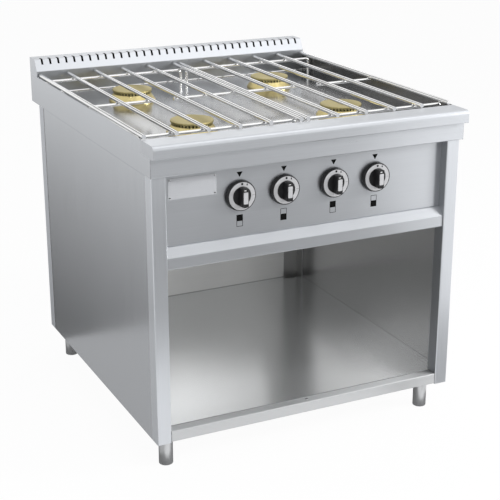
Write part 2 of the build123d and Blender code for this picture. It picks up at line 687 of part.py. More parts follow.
def make_mixer():
    """Cast cup under the burner's neck with a venturi tube that reaches forward to the injector."""
    outer = NECK_RADIUS + NECK_CLEARANCE + MIXER_WALL
    neck_seat = -NECK_LENGTH
    cup_top = neck_seat + MIXER_OVERLAP
    cup_bottom = cup_top - MIXER_DEPTH
    cup = upright(outer, 0, 0, cup_bottom, cup_top)
    venturi = rod_along_y(VENTURI_RADIUS, 0, -VENTURI_DROP, -VENTURI_REACH, 0)
    sleeve = upright(NECK_RADIUS + NECK_CLEARANCE, 0, 0, neck_seat, cup_top)
    chamber = upright(NECK_RADIUS - NECK_WALL, 0, 0, cup_bottom + MIXER_WALL, cup_top)
    throat = rod_along_y(VENTURI_BORE, 0, -VENTURI_DROP, -VENTURI_REACH, 0)
    return cup + venturi - sleeve - chamber - throat


def make_injector():
    """Brass injector: socket for the gas tube, and a nozzle just inside the venturi's mouth."""
    nozzle_end = -VENTURI_REACH + NOZZLE_ENTRY
    shoulder = nozzle_end - NOZZLE_LENGTH
    rear = shoulder - INJECTOR_LENGTH
    body = rod_along_y(INJECTOR_RADIUS, 0, -VENTURI_DROP, rear, shoulder)
    body += rod_along_y(NOZZLE_RADIUS, 0, -VENTURI_DROP, shoulder, nozzle_end)
    body -= rod_along_y(TUBE_RADIUS, 0, -VENTURI_DROP, rear, rear + INJECTOR_SOCKET)
    return body - rod_along_y(JET_RADIUS, 0, -VENTURI_DROP, rear, nozzle_end)


def make_burners():
    """The four burners with what feeds them."""
    bases = []
    mixers = []
    injectors = []
    caps = {}
    for name, (_, x, y) in burners.items():
        place = Pos(x, y, well_z)
        bases.append(place * make_burner_base())
        mixers.append(place * make_mixer())
        injectors.append(place * make_injector())
        caps[f"burner_cap_{name}"] = place * make_burner_cap()
    return {
        "burner_bases": Compound(children=bases),
        "mixer_tubes": Compound(children=mixers),
        "injectors": Compound(children=injectors),
        **caps,
    }


def make_grate(sign):
    """Welded grate: long rods on two bent cross rods that stand on the well floor, and a split middle rod."""
    rod_z = top_z - ROD_SINK + ROD_RADIUS
    cross_z = rod_z - ROD_RADIUS - CROSS_ROD_RADIUS
    outer = hob_inner_x - GRATE_SIDE_GAP - ROD_RADIUS
    inner = GRATE_MIDDLE_GAP / 2 + ROD_RADIUS
    pitch = (outer - inner) / (RODS_PER_GRATE - 1)
    rod_front = well_front_y + GRATE_FRONT_GAP
    rod_rear = well_rear_y - GRATE_REAR_GAP
    pieces = []
    for number in range(RODS_PER_GRATE):
        x = sign * (inner + number * pitch)
        pieces.append(rod_along_y(ROD_RADIUS, x, rod_z, rod_front, rod_rear))
    for y in (rod_front + CROSS_FRONT_INSET, rod_rear - CROSS_REAR_INSET):
        points = [
            (sign * inner, y, well_z), (sign * inner, y, cross_z),
            (sign * outer, y, cross_z), (sign * outer, y, well_z),
        ]
        path = FilletPolyline(*points, radius=CROSS_BEND_RADIUS)
        pieces.append(sweep(Pos(*points[0]) * Circle(CROSS_ROD_RADIUS), path=path))
    middle_y = front_y + CROSS_MIDDLE_SETBACK
    gap_rod = RODS_PER_GRATE // 2
    low = inner + (gap_rod - 1) * pitch + CROSS_OVERHANG
    high = inner + gap_rod * pitch - CROSS_OVERHANG
    for span in ((inner, low), (high, outer)):
        pieces.append(rod_along_x(CROSS_ROD_RADIUS, middle_y, cross_z, *mirrored(sign, *span)))
    return Compound(children=pieces)


def screw(place):
    """Pan head screw seen from outside."""
    head = Cylinder(SCREW_RADIUS, SCREW_HEAD, align=(Align.CENTER, Align.CENTER, Align.MIN))
    return place * fillet(head.edges().sort_by(Axis.Z)[-1], SCREW_EDGE_RADIUS)


def make_screws():
    """One screw in the bottom rail's flange, and two rows in the lips behind the back panel."""
    screws = [screw(Pos(0, post_y + SHELF_SCREW_SETBACK, shelf_seat_z))]
    low = shelf_z + BACK_SCREW_END_MARGIN
    high = cabinet_top_z - BACK_SCREW_END_MARGIN
    for sign in sides.values():
        for row in range(BACK_SCREW_ROWS):
            z = low + (high - low) * row / (BACK_SCREW_ROWS - 1)
            x = sign * (rear_post_inner_x - BACK_SCREW_INSET)
            screws.append(screw(Pos(x, lip_y + SHEET, z) * Rot(-90, 0, 0)))
    return {"screws": Compound(children=screws)}


def main():
    """Writes one file per piece."""
    parts = {**make_cabinet(), **make_legs(), **make_hob(), **make_panel(), **make_gas_pipes()}
    parts.update(make_burners())
    bodies = []
    for name, (x, _, _) in burners.items():
        for piece, solid in make_knob(x).items():
            parts[f"{piece}_{name}"] = solid
        bodies.append(make_tap_body(x))
    parts["tap_bodies"] = Compound(children=bodies)
    for side, sign in sides.items():
        parts[f"grate_{side}"] = make_grate(sign)
    parts.update(make_screws())
    os.makedirs("parts", exist_ok=True)
    for name, solid in parts.items():
        export_step(solid, f"parts/{name}.step")
    print(len(parts), "pieces written")


main()
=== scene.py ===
import math

import bpy
from mathutils import Matrix, Vector


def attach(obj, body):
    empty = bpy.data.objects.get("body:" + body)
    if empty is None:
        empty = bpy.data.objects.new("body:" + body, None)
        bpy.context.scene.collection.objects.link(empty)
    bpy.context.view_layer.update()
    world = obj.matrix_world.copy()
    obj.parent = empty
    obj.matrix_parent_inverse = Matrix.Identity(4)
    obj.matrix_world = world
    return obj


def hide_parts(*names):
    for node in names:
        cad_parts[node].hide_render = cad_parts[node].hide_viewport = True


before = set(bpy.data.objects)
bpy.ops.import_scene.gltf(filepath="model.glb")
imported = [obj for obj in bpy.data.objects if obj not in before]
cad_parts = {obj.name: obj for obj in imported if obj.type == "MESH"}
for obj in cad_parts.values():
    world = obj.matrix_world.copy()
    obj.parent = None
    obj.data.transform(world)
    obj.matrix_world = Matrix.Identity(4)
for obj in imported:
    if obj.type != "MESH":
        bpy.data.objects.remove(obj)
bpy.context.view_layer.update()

# Places on the stove, in metres
KNOB_X = {"rear_left": -0.1755, "front_left": -0.0645, "rear_right": 0.0645, "front_right": 0.1755}
KNOB_Z = 0.6455
PANEL_Y = -0.394
DIAL_Y = PANEL_Y - 0.0133
DIAL_RADIUS = 0.0282
GRIP_Y = PANEL_Y - 0.033
# Place of the painted highlight on each grip's upper edge, from the knob's middle
GRIP_HIGHLIGHT_SHIFT = -0.0015
GRIP_HIGHLIGHT_RISE = 0.0178
TRIANGLE_Z = 0.6948
SIGN_Z = 0.585
BURNER_X = 0.200
BURNER_MIDDLE_Y = 0.009
BURNER_HALF_Y = 0.196
PORT_DEPTH = (0.0430, 0.0442)  # from the burner's middle: painted shade in the ports up to the first, none from the second on
PORT_HEIGHT = (0.7718, 0.7724)  # the same, upwards
ROD_X = [0.009 + 0.0765 * number for number in range(6)]
CROSS_Y = (-0.338, 0.335, -0.005)
CROSS_TOP = 0.791
FOLD_MIDDLE = (0.0, 0.3820, 0.7480)
FOLD_CORNER = (0.0, 0.3813, 0.7489)
FLANGE_SCREW = (0.0, -0.4015, 0.108)
BACK_SCREW_X = 0.332
BACK_SCREW_Y = 0.380
BACK_SCREW_Z = (0.1695, 0.3412, 0.5128, 0.6845)
THREAD_START = (0.4030, 0.4032)
ORIGIN = (0.0, 0.0, 0.0)

# Sizes of the prints, the grip's painted highlight, welds, fold and screws, in metres; a shape is a stretch
# along each axis
INK = 0.00015
TRIANGLE_RADIUS = 0.0081
TRIANGLE_SHAPE = (1.04, 1.0, 1.0)
SIGN_STEP = 0.0140
SIGN_WIDTH = 0.0158
SIGN_LINE = 0.0011
DOT_RADIUS = 0.0026
FLAME_ANGLE = math.radians(26.0)
FLAME_RADIUS = 0.0020
FLAME_TIP = 1.3 * FLAME_RADIUS
FLAME_SHAPE = (0.8, 1.0, 1.0)
LOW_MARK = (0.0060, 0.0009)
GRIP_HIGHLIGHT = (0.0052, 0.0017)
WELD_RADIUS = 0.0026
WELD_SHAPE = (1.0, 1.25, 0.9)
WELD_FOOT_Z = -0.0004
WELD_FOOT_SHAPE = (1.25, 1.15, 0.8)
WELD_ASIDE = 0.0040
FOLD_SIZE = (0.796, 0.0036, 0.0036)
FOLD_SLOPE = (0.0, -0.7071, 0.7071)
FOLD_ROUND = 0.0005
HEAD_RADIUS = 0.004
HEAD_HEIGHT = 0.0016
HEAD_ROUND = 0.0008
HEAD_SMOOTH = math.radians(35.0)
RECESS_WIDTH = 0.0009
RECESS_CUTS = ((0.0, (5.0, 1.0, 2.0)), (math.pi / 2, (1.0, 5.0, 2.0)))
FLANGE_SCREW_TURN = 0.3
THREAD_PITCH = 0.001814
MERGE_DISTANCE = 0.000001

# Directions, and the axes that a finish's grain runs along
LEFT, RIGHT = (-1.0, 0.0, 0.0), (1.0, 0.0, 0.0)
FRONT, REAR = (0.0, -1.0, 0.0), (0.0, 1.0, 0.0)
DOWN, UP = (0.0, 0.0, -1.0), (0.0, 0.0, 1.0)
FACING_FRONT = (math.pi / 2, 0.0, 0.0)
FACING_REAR = (-math.pi / 2, 0.0, 0.0)
ALONG_X, ALONG_Y, ALONG_Z = 0, 1, 2

# Planes of the sheets: outward direction, and distance from the origin along it
CABINET_SIDES = ((LEFT, 0.396), (RIGHT, 0.396))
CABINET_REAR = (REAR, 0.395)
PANEL_REAR = (REAR, 0.3568)
STRIP_FOOT = (UP, 0.717)
LEFT_POST_EDGE = (RIGHT, -0.3615)
RIGHT_POST_EDGE = (LEFT, -0.3615)
SHELF_SIDES = ((LEFT, 0.3945), (RIGHT, 0.3945))
SHELF_FRONT = (FRONT, 0.3915)
SHELF_TOP = (DOWN, -0.1095)
HOB_SIDES = ((LEFT, 0.400), (RIGHT, 0.400))
HOB_FRONT = (FRONT, 0.4265)
HOB_REAR = (REAR, 0.445)
HOB_TOP = (UP, 0.7915)
WELL_FLOOR = (DOWN, -0.746)
RISER_FACE = (FRONT, -0.384)
RISER_SLOPE = ((0.0, -0.88235, 0.47059), 0.04048)
RISER_TOP = (UP, 0.836)
SKIN = (0.0005, 0.0010)  # depths under a plane at which a sheet's outside ends and its inside starts

# Tones
STEEL = (0.59, 0.61, 0.64)
BRIGHT_STEEL = (0.66, 0.67, 0.68)
SHEET_CONTRAST = 0.04
# Near black for the painted shade in the burner ports
PORT_SHADE = (0.012, 0.011, 0.009)
ZINC = (0.50, 0.51, 0.51)
DARK_ZINC = (0.42, 0.43, 0.43)
LIGHT_ZINC = (0.56, 0.57, 0.57)


# Finishes

def scaled(colour, factor):
    return tuple(min(1.0, channel * factor) for channel in colour)


def grey(tone):
    return (tone, tone, tone)


def colour_output(mix):
    """The colour among a Mix node's outputs."""
    return next(socket for socket in mix.outputs if socket.type == "RGBA")


class Finish:
    """One node material: the shader, the object's own coordinates and small ways to add to them."""

    def __init__(self, name, colour, metallic, roughness):
        self.material = bpy.data.materials.new(name)
        self.material.use_nodes = True
        self.tree = self.material.node_tree
        self.shader = self.tree.nodes["Principled BSDF"]
        self.shader.inputs["Base Color"].default_value = (*colour, 1.0)
        self.shader.inputs["Metallic"].default_value = metallic
        self.shader.inputs["Roughness"].default_value = roughness
        self.place = self.tree.nodes.new("ShaderNodeTexCoord").outputs["Object"]

    def node(self, kind, **settings):
        made = self.tree.nodes.new(kind)
        for key, value in settings.items():
            setattr(made, key, value)
        return made

    def link(self, start, end):
        self.tree.links.new(start, end)

    def axes(self):
        """The place's three coordinates."""
        split = self.node("ShaderNodeSeparateXYZ")
        self.link(self.place, split.inputs["Vector"])
        return split.outputs["X"], split.outputs["Y"], split.outputs["Z"]

    def noise(self, lumps, detail=4.0, lumpiness=0.6, grain=None, along=0.0):
        """Noise with some lumps per metre, and another number of them along the grain's axis."""
        count = [lumps, lumps, lumps]
        if grain is not None:
            count[grain] = along
        mapping = self.node("ShaderNodeMapping")
        mapping.inputs["Scale"].default_value = count
        self.link(self.place, mapping.inputs["Vector"])
        made = self.node("ShaderNodeTexNoise")
        made.inputs["Scale"].default_value = 1.0
        made.inputs["Detail"].default_value = detail
        made.inputs["Roughness"].default_value = lumpiness
        self.link(mapping.outputs["Vector"], made.inputs["Vector"])
        return made.outputs["Fac"]

    def spread(self, value, low, high, from_low=0.3, from_high=0.7):
        """The same pattern between two other values."""
        made = self.node("ShaderNodeMapRange")
        made.inputs["From Min"].default_value = from_low
        made.inputs["From Max"].default_value = from_high
        made.inputs["To Min"].default_value = low
        made.inputs["To Max"].default_value = high
        self.link(value, made.inputs["Value"])
        return made.outputs["Result"]

    def combine(self, operation, first, second=None):
        """One step of arithmetic on a pattern, alone, with a number or with another pattern."""
        made = self.node("ShaderNodeMath", operation=operation)
        self.link(first, made.inputs[0])
        if isinstance(second, float):
            made.inputs[1].default_value = second
        elif second is not None:
            self.link(second, made.inputs[1])
        return made.outputs["Value"]

    def depth(self, direction, level):
        """Distance under a plane, given by its outward direction and its level."""
        along = self.node("ShaderNodeVectorMath", operation="DOT_PRODUCT")
        self.link(self.place, along.inputs[0])
        along.inputs[1].default_value = direction
        under = self.node("ShaderNodeMath", operation="SUBTRACT")
        under.inputs[0].default_value = level
        self.link(along.outputs["Value"], under.inputs[1])
        return under.outputs["Value"]

    def tint(self, factor, dark, light):
        """Colour between two tones."""
        made = self.node("ShaderNodeMix", data_type="RGBA")
        made.inputs["A"].default_value = (*dark, 1.0)
        made.inputs["B"].default_value = (*light, 1.0)
        self.link(factor, made.inputs["Factor"])
        return colour_output(made)

    def blend(self, factor, pattern, tone):
        """Colour between a pattern and one tone."""
        made = self.node("ShaderNodeMix", data_type="RGBA")
        self.link(factor, made.inputs["Factor"])
        self.link(pattern, made.inputs["A"])
        made.inputs["B"].default_value = (*tone, 1.0)
        return colour_output(made)

    def set(self, socket, value):
        self.link(value, self.shader.inputs[socket])

    def mottle(self, pattern, dark, light):
        """Base colour that follows a pattern between two tones."""
        self.set("Base Color", self.tint(self.spread(pattern, 0.0, 1.0), dark, light))

    def relief(self, height, strength, depth):
        bump = self.node("ShaderNodeBump")
        bump.inputs["Strength"].default_value = strength
        bump.inputs["Distance"].default_value = depth
        self.link(height, bump.inputs["Height"])
        self.set("Normal", bump.outputs["Normal"])


def brushed_sheet(
    name, grain, colour, roughness, stretch, metallic=1.0, relief=0.02, inside=None, outer_faces=(), painted_shade_lines=(),
):
    """Stainless sheet: gloss drawn out across the hairlines, faint streaks and clouds from handling.

    Under its outer faces a folded sheet takes another tone inside, painted shade where that tone is darker.
    Each painted shade line darkens the sheet along a plane, with its width and its share of the sheet's
    colour.
    """
    finish = Finish(name, colour, metallic, roughness)
    finish.shader.inputs["Anisotropic"].default_value = stretch
    across = finish.node("ShaderNodeCombineXYZ")
    for axis, socket in enumerate(across.inputs):
        socket.default_value = 0.0 if axis == grain else 1.0
    finish.set("Tangent", across.outputs["Vector"])
    hairlines = finish.noise(700.0, 5.0, 0.6, grain, 5.0)
    streaks = finish.noise(60.0, 3.0, 0.5, grain, 1.1)
    clouds = finish.noise(4.0)
    mixed = finish.combine("ADD", finish.spread(hairlines, 0.0, 0.60), finish.spread(streaks, 0.0, 0.15))
    mixed = finish.combine("ADD", mixed, finish.spread(clouds, 0.0, 0.25))
    tone = finish.tint(mixed, scaled(colour, 1.0 - SHEET_CONTRAST), scaled(colour, 1.0 + SHEET_CONTRAST))
    # Painted shade: the inside of a folded sheet gets its own, mostly darker tone
    if outer_faces:
        depth = finish.depth(*outer_faces[0])
        for face in outer_faces[1:]:
            depth = finish.combine("MINIMUM", depth, finish.depth(*face))
        tone = finish.blend(finish.spread(depth, 0.0, 1.0, *SKIN), tone, inside)
    # Painted shade along each plane
    for plane, width, shade in painted_shade_lines:
        in_shade = finish.spread(finish.depth(*plane), 1.0, 0.0, 0.5 * width, width)
        tone = finish.blend(in_shade, tone, scaled(colour, shade))
    finish.set("Base Color", tone)
    brushing = finish.spread(hairlines, roughness - 0.02, roughness + 0.02)
    finish.set("Roughness", finish.combine("ADD", finish.spread(clouds, -0.01, 0.01), brushing))
    finish.relief(hairlines, relief, 0.0003)
    return finish.material


def polished_steel(name, grain, colour, roughness):
    """Bright steel with fine draw lines and a little uneven polish."""
    finish = Finish(name, colour, 1.0, roughness)
    lines = finish.noise(900.0, 3.0, 0.5, grain, 12.0)
    clouds = finish.noise(14.0, 3.0, 0.55)
    finish.mottle(clouds, scaled(colour, 0.93), scaled(colour, 1.05))
    polish = finish.spread(clouds, roughness - 0.02, roughness + 0.04)
    finish.set("Roughness", finish.combine("ADD", finish.spread(lines, -0.02, 0.03), polish))
    finish.relief(lines, 0.04, 0.0002)
    return finish.material


def cast_brass():
    """Pale matt brass with a fine blasted grain, with painted shade inside the ports."""
    finish = Finish("cast_brass", (0.48, 0.40, 0.18), 1.0, 0.46)
    grain = finish.noise(1500.0, 3.0)
    patches = finish.noise(45.0)
    mixed = finish.combine("ADD", finish.spread(grain, 0.0, 0.5), finish.spread(patches, 0.0, 0.5))
    tone = finish.tint(mixed, (0.42, 0.355, 0.155), (0.54, 0.47, 0.235))
    x, y, z = finish.axes()
    aside = finish.combine("SUBTRACT", finish.combine("ABSOLUTE", x), BURNER_X)
    ahead = finish.combine("ABSOLUTE", finish.combine("SUBTRACT", y, BURNER_MIDDLE_Y))
    ahead = finish.combine("SUBTRACT", ahead, BURNER_HALF_Y)
    aside_squared = finish.combine("MULTIPLY", aside, aside)
    ahead_squared = finish.combine("MULTIPLY", ahead, ahead)
    distance = finish.combine("SQRT", finish.combine("ADD", aside_squared, ahead_squared))
    # Painted shade: the ports are coloured near black below the cap
    within = finish.spread(distance, 1.0, 0.0, *PORT_DEPTH)
    below = finish.spread(z, 1.0, 0.0, *PORT_HEIGHT)
    finish.set("Base Color", finish.blend(finish.combine("MULTIPLY", within, below), tone, PORT_SHADE))
    finish.set("Roughness", finish.spread(patches, 0.42, 0.54))
    finish.relief(grain, 0.16, 0.0003)
    return finish.material


def turned_brass():
    """Bright machined brass."""
    finish = Finish("turned_brass", (0.60, 0.48, 0.21), 1.0, 0.20)
    stains = finish.noise(60.0)
    finish.mottle(stains, (0.56, 0.465, 0.21), (0.70, 0.60, 0.30))
    finish.set("Roughness", finish.spread(stains, 0.28, 0.40))
    finish.relief(stains, 0.03, 0.0004)
    return finish.material


def knob_plastic():
    """Black moulded plastic with a fine spark-eroded grain."""
    finish = Finish("knob_plastic", (0.010, 0.010, 0.011), 0.0, 0.42)
    finish.shader.inputs["Specular IOR Level"].default_value = 0.3
    grain = finish.noise(2600.0, 2.0, 0.5)
    rubbed = finish.noise(120.0)
    finish.mottle(rubbed, (0.009, 0.009, 0.010), (0.020, 0.020, 0.021))
    finish.set("Roughness", finish.spread(rubbed, 0.34, 0.50))
    finish.relief(grain, 0.12, 0.0002)
    return finish.material


def anodised_plate(name, colour):
    """Pale satin aluminium with a fine grain."""
    finish = Finish(name, colour, 0.15, 0.38)
    lines = finish.noise(900.0, grain=ALONG_X, along=20.0)
    clouds = finish.noise(60.0)
    mixed = finish.combine("ADD", finish.spread(lines, 0.0, 0.5), finish.spread(clouds, 0.0, 0.5))
    finish.set("Base Color", finish.tint(mixed, scaled(colour, 0.95), scaled(colour, 1.04)))
    finish.set("Roughness", finish.spread(clouds, 0.32, 0.46))
    finish.relief(lines, 0.05, 0.0002)
    return finish.material


def print_ink(name, colour):
    """Screen-printed ink, a little uneven."""
    finish = Finish(name, colour, 0.0, 0.5)
    finish.shader.inputs["Specular IOR Level"].default_value = 0.05
    coat = finish.noise(500.0)
    finish.mottle(coat, scaled(colour, 0.8), scaled(colour, 1.25))
    finish.set("Roughness", finish.spread(coat, 0.62, 0.80))
    finish.relief(coat, 0.08, 0.0002)
    return finish.material


def zinc_plate():
    """Dull zinc with faint crystals."""
    finish = Finish("zinc", ZINC, 1.0, 0.42)
    crystals = finish.noise(260.0, 5.0, 0.65)
    clouds = finish.noise(18.0)
    finish.mottle(crystals, DARK_ZINC, LIGHT_ZINC)
    finish.set("Roughness", finish.spread(clouds, 0.34, 0.52))
    finish.relief(crystals, 0.10, 0.0003)
    return finish.material


def threaded_pipe():
    """Zinc plated pipe; past the back panel's plane its surface carries a half inch thread."""
    finish = Finish("threaded_pipe", ZINC, 1.0, 0.38)
    crystals = finish.noise(260.0, 5.0, 0.65)
    along = finish.axes()[ALONG_Y]
    turns = finish.combine("SINE", finish.combine("MULTIPLY", along, 2 * math.pi / THREAD_PITCH))
    ridges = finish.combine("MULTIPLY", turns, finish.spread(along, 0.0, 1.0, *THREAD_START))
    finish.mottle(crystals, DARK_ZINC, LIGHT_ZINC)
    finish.set("Roughness", finish.spread(crystals, 0.30, 0.46))
    finish.relief(finish.combine("ADD", ridges, finish.spread(crystals, 0.0, 0.1)), 0.9, 0.0006)
    return finish.material


def rough_casting():
    """Sand-cast aluminium."""
    finish = Finish("rough_casting", (0.42, 0.43, 0.44), 1.0, 0.55)
    sand = finish.noise(900.0, lumpiness=0.65)
    clouds = finish.noise(40.0)
    finish.mottle(clouds, (0.34, 0.35, 0.36), (0.47, 0.48, 0.49))
    finish.set("Roughness", finish.spread(clouds, 0.48, 0.66))
    finish.relief(sand, 0.5, 0.0006)
    return finish.material


# Painted shade on the side panels in the gap at the rear posts, and a painted shadow under the hob's skirt
PANEL_PAINTED_SHADE = ((PANEL_REAR, 0.0050, 0.30), (STRIP_FOOT, 0.0050, 0.70))
# Painted shade along the shelf's edges at the side walls, and on its front edge
SHELF_PAINTED_SHADE = (*((side, 0.0010, 0.5) for side in SHELF_SIDES), (SHELF_FRONT, 0.0006, 0.4))

side_steel = brushed_sheet("side_steel", ALONG_Z, STEEL, roughness=0.24, stretch=0.50, relief=0.008)
# Inside the side panels a painted tone; the right panel's inside is darker, as painted shade
panel_steel = brushed_sheet(
    "panel_steel", ALONG_Z, STEEL, roughness=0.24, stretch=0.50, relief=0.008,
    inside=grey(0.60), outer_faces=CABINET_SIDES, painted_shade_lines=PANEL_PAINTED_SHADE,
)
right_panel_steel = brushed_sheet(
    "right_panel_steel", ALONG_Z, STEEL, roughness=0.235, stretch=0.50, metallic=0.85, relief=0.008,
    inside=grey(0.50), outer_faces=CABINET_SIDES, painted_shade_lines=PANEL_PAINTED_SHADE,
)
# The skirt's inside is painted dark: painted shade under the hob
skirt_steel = brushed_sheet(
    "skirt_steel", ALONG_Z, STEEL, roughness=0.24, stretch=0.50, relief=0.008,
    inside=grey(0.20), outer_faces=(*HOB_SIDES, HOB_FRONT, HOB_TOP),
)
# The posts' inner faces are painted darker: painted shade; the right post is a lighter copy of the same
# steel: painted light
left_post_steel = brushed_sheet(
    "left_post_steel", ALONG_Z, scaled(STEEL, 1.12), roughness=0.34, stretch=0.65, metallic=0.88,
    painted_shade_lines=((LEFT_POST_EDGE, 0.0008, 0.40),),
)
right_post_steel = brushed_sheet(
    "right_post_steel", ALONG_Z, scaled(STEEL, 1.30), roughness=0.34, stretch=0.65, metallic=0.88,
    painted_shade_lines=((RIGHT_POST_EDGE, 0.0008, 0.40),),
)
crosswise_steel = brushed_sheet(
    "crosswise_steel", ALONG_X, STEEL, roughness=0.30, stretch=0.65, metallic=0.89,
)
# The control panel and the ledge are darker copies of the crosswise steel: painted shade
control_steel = brushed_sheet(
    "control_steel", ALONG_X, scaled(STEEL, 0.94), roughness=0.30, stretch=0.65, metallic=0.89,
)
ledge_steel = brushed_sheet(
    "ledge_steel", ALONG_X, scaled(STEEL, 0.88), roughness=0.30, stretch=0.65, metallic=0.85,
)
rail_steel = brushed_sheet(
    "rail_steel", ALONG_X, (0.63, 0.64, 0.65), roughness=0.40, stretch=0.90, metallic=0.92,
)
# The cabinet's shelf, ceiling and back panel are much lighter copies of the steel: painted light; a painted
# shade line runs along the back panel's foot
shelf_steel = brushed_sheet(
    "shelf_steel", ALONG_X, (0.81, 0.82, 0.825), roughness=0.235, stretch=0.60, metallic=0.86, relief=0.002,
    painted_shade_lines=SHELF_PAINTED_SHADE,
)
inside_steel = brushed_sheet(
    "inside_steel", ALONG_X, (0.82, 0.82, 0.81), roughness=0.44, stretch=0.85, metallic=0.60,
    painted_shade_lines=((SHELF_TOP, 0.0018, 0.4),),
)
well_steel = brushed_sheet(
    "well_steel", ALONG_X, (0.45, 0.455, 0.46), roughness=0.17, stretch=0.3, relief=0.004,
)
# The rear posts' channels are painted darker inside: painted shade
channel_steel = brushed_sheet(
    "channel_steel", ALONG_Z, STEEL, roughness=0.48, stretch=0.40, metallic=0.50,
    inside=(0.42, 0.42, 0.415), outer_faces=(*CABINET_SIDES, CABINET_REAR),
)
# The riser is painted near black inside, and its lower front wall darker towards the well floor: painted
# shade
flue_steel = brushed_sheet(
    "flue_steel", ALONG_Z, STEEL, roughness=0.34, stretch=0.40, relief=0.004,
    inside=grey(0.015), outer_faces=(*HOB_SIDES, RISER_TOP, RISER_FACE, RISER_SLOPE),
    painted_shade_lines=((RISER_FACE, 0.0004, 0.62), (WELL_FLOOR, 0.030, 0.60)),
)
# The hob's rear panel is painted near black inside: painted shade inside the riser
rear_steel = brushed_sheet(
    "rear_steel", ALONG_X, STEEL, roughness=0.28, stretch=0.50, relief=0.006,
    inside=grey(0.015), outer_faces=(HOB_REAR,),
)
leg_steel = brushed_sheet(
    "leg_steel", ALONG_Z, BRIGHT_STEEL, roughness=0.34, stretch=0.60, metallic=0.85,
)
rod_steel = polished_steel("rod_steel", ALONG_Y, grey(0.86), 0.08)
tube_steel = polished_steel("tube_steel", ALONG_Z, BRIGHT_STEEL, 0.16)
weld_steel = polished_steel("weld_steel", ALONG_X, grey(0.56), 0.22)
brass_cap = cast_brass()
brass_base = turned_brass()
black_plastic = knob_plastic()
dial_metal = anodised_plate("dial_metal", (0.48, 0.48, 0.49))
plate_metal = anodised_plate("plate_metal", (0.46, 0.47, 0.49))
black_ink = print_ink("black_ink", grey(0.004))
grey_ink = print_ink("grey_ink", (0.20, 0.20, 0.21))
# White paint for the grip's painted highlight, not a print
painted_highlight_ink = print_ink("painted_highlight_ink", grey(0.62))
zinc = zinc_plate()
inlet_zinc = threaded_pipe()
casting = rough_casting()

NODE_FINISH = {
    panel_steel: ("side_panel_left",),
    right_panel_steel: ("side_panel_right",),
    skirt_steel: ("hob_side_left", "hob_side_right"),
    side_steel: ("base_rail_left", "base_rail_right"),
    left_post_steel: ("front_post_left",),
    right_post_steel: ("front_post_right",),
    channel_steel: ("rear_post_left", "rear_post_right"),
    crosswise_steel: ("hob_front_rail", "hob_front_strip"),
    control_steel: ("control_panel",),
    ledge_steel: ("ledge",),
    flue_steel: ("riser",),
    rear_steel: ("hob_rear_panel",),
    leg_steel: ("leg_tubes", *(f"foot_{corner}" for corner in KNOB_X)),
    shelf_steel: ("bottom_shelf", "compartment_ceiling"),
    rail_steel: ("bottom_front_rail",),
    inside_steel: ("back_panel",),
    well_steel: ("hob_well",),
    rod_steel: ("grate_left", "grate_right"),
    tube_steel: ("plate_rivets", "screws", *(f"spindle_{burner}" for burner in KNOB_X)),
    brass_cap: tuple(f"burner_cap_{burner}" for burner in KNOB_X),
    brass_base: ("burner_bases", "tap_bodies", "injectors", *(f"tap_plug_{burner}" for burner in KNOB_X)),
    black_plastic: tuple(f"knob_{burner}" for burner in KNOB_X),
    dial_metal: tuple(f"knob_trim_{burner}" for burner in KNOB_X),
    plate_metal: ("data_plate",),
    zinc: ("leg_bushes", "manifold", "manifold_brackets"),
    inlet_zinc: ("gas_inlet_pipe",),
    casting: ("mixer_tubes", "gas_tubes"),
}
for material, names in NODE_FINISH.items():
    for name in names:
        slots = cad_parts[name].data.materials
        slots.clear()
        slots.append(material)


# Pieces modelled on the solids

def clear_selection():
    bpy.ops.object.select_all(action="DESELECT")


def select_only(*pieces):
    """Selects pieces, the first of them as the active one."""
    clear_selection()
    for piece in pieces:
        piece.select_set(True)
    bpy.context.view_layer.objects.active = pieces[0]


def edit_mode():
    bpy.ops.object.mode_set(mode="EDIT")


def object_mode():
    bpy.ops.object.mode_set(mode="OBJECT")


def copies(first, places):
    """Copies of a piece, each with its own mesh, at places with their turns; the piece itself goes."""
    made = []
    for place, turn in places:
        select_only(first)
        bpy.ops.object.duplicate(linked=False)
        piece = bpy.context.object
        piece.location = place
        piece.rotation_euler = turn
        made.append(piece)
    bpy.data.objects.remove(first)
    return made


def join(pieces):
    """Makes one piece of several."""
    select_only(*pieces)
    bpy.ops.object.join()


def raise_print():
    """Gives a flat printed shape its coat of ink, towards the cook."""
    bpy.ops.mesh.select_all(action="SELECT")
    bpy.ops.mesh.extrude_region_move(TRANSFORM_OT_translate={"value": (0.0, -INK, 0.0)})


def finish_piece(name, finish):
    """Writes the place into the mesh, turns the faces outwards and puts the finish on."""
    piece = bpy.context.object
    if piece.mode == "EDIT":
        object_mode()
    bpy.ops.object.transform_apply(location=True, rotation=True, scale=True)
    edit_mode()
    bpy.ops.mesh.select_all(action="SELECT")
    bpy.ops.mesh.remove_doubles(threshold=MERGE_DISTANCE)
    bpy.ops.mesh.normals_make_consistent(inside=False)
    object_mode()
    piece.name = name
    piece.data.materials.clear()
    piece.data.materials.append(finish)
    return piece


def print_triangle(name, x):
    """Black triangle over a knob, its tip down."""
    clear_selection()
    place = (x, PANEL_Y, TRIANGLE_Z)
    bpy.ops.mesh.primitive_circle_add(
        vertices=3, radius=TRIANGLE_RADIUS, fill_type="NGON", location=place, rotation=FACING_REAR
    )
    edit_mode()
    bpy.ops.transform.resize(value=TRIANGLE_SHAPE, center_override=place)
    raise_print()
    return finish_piece(name, black_ink)


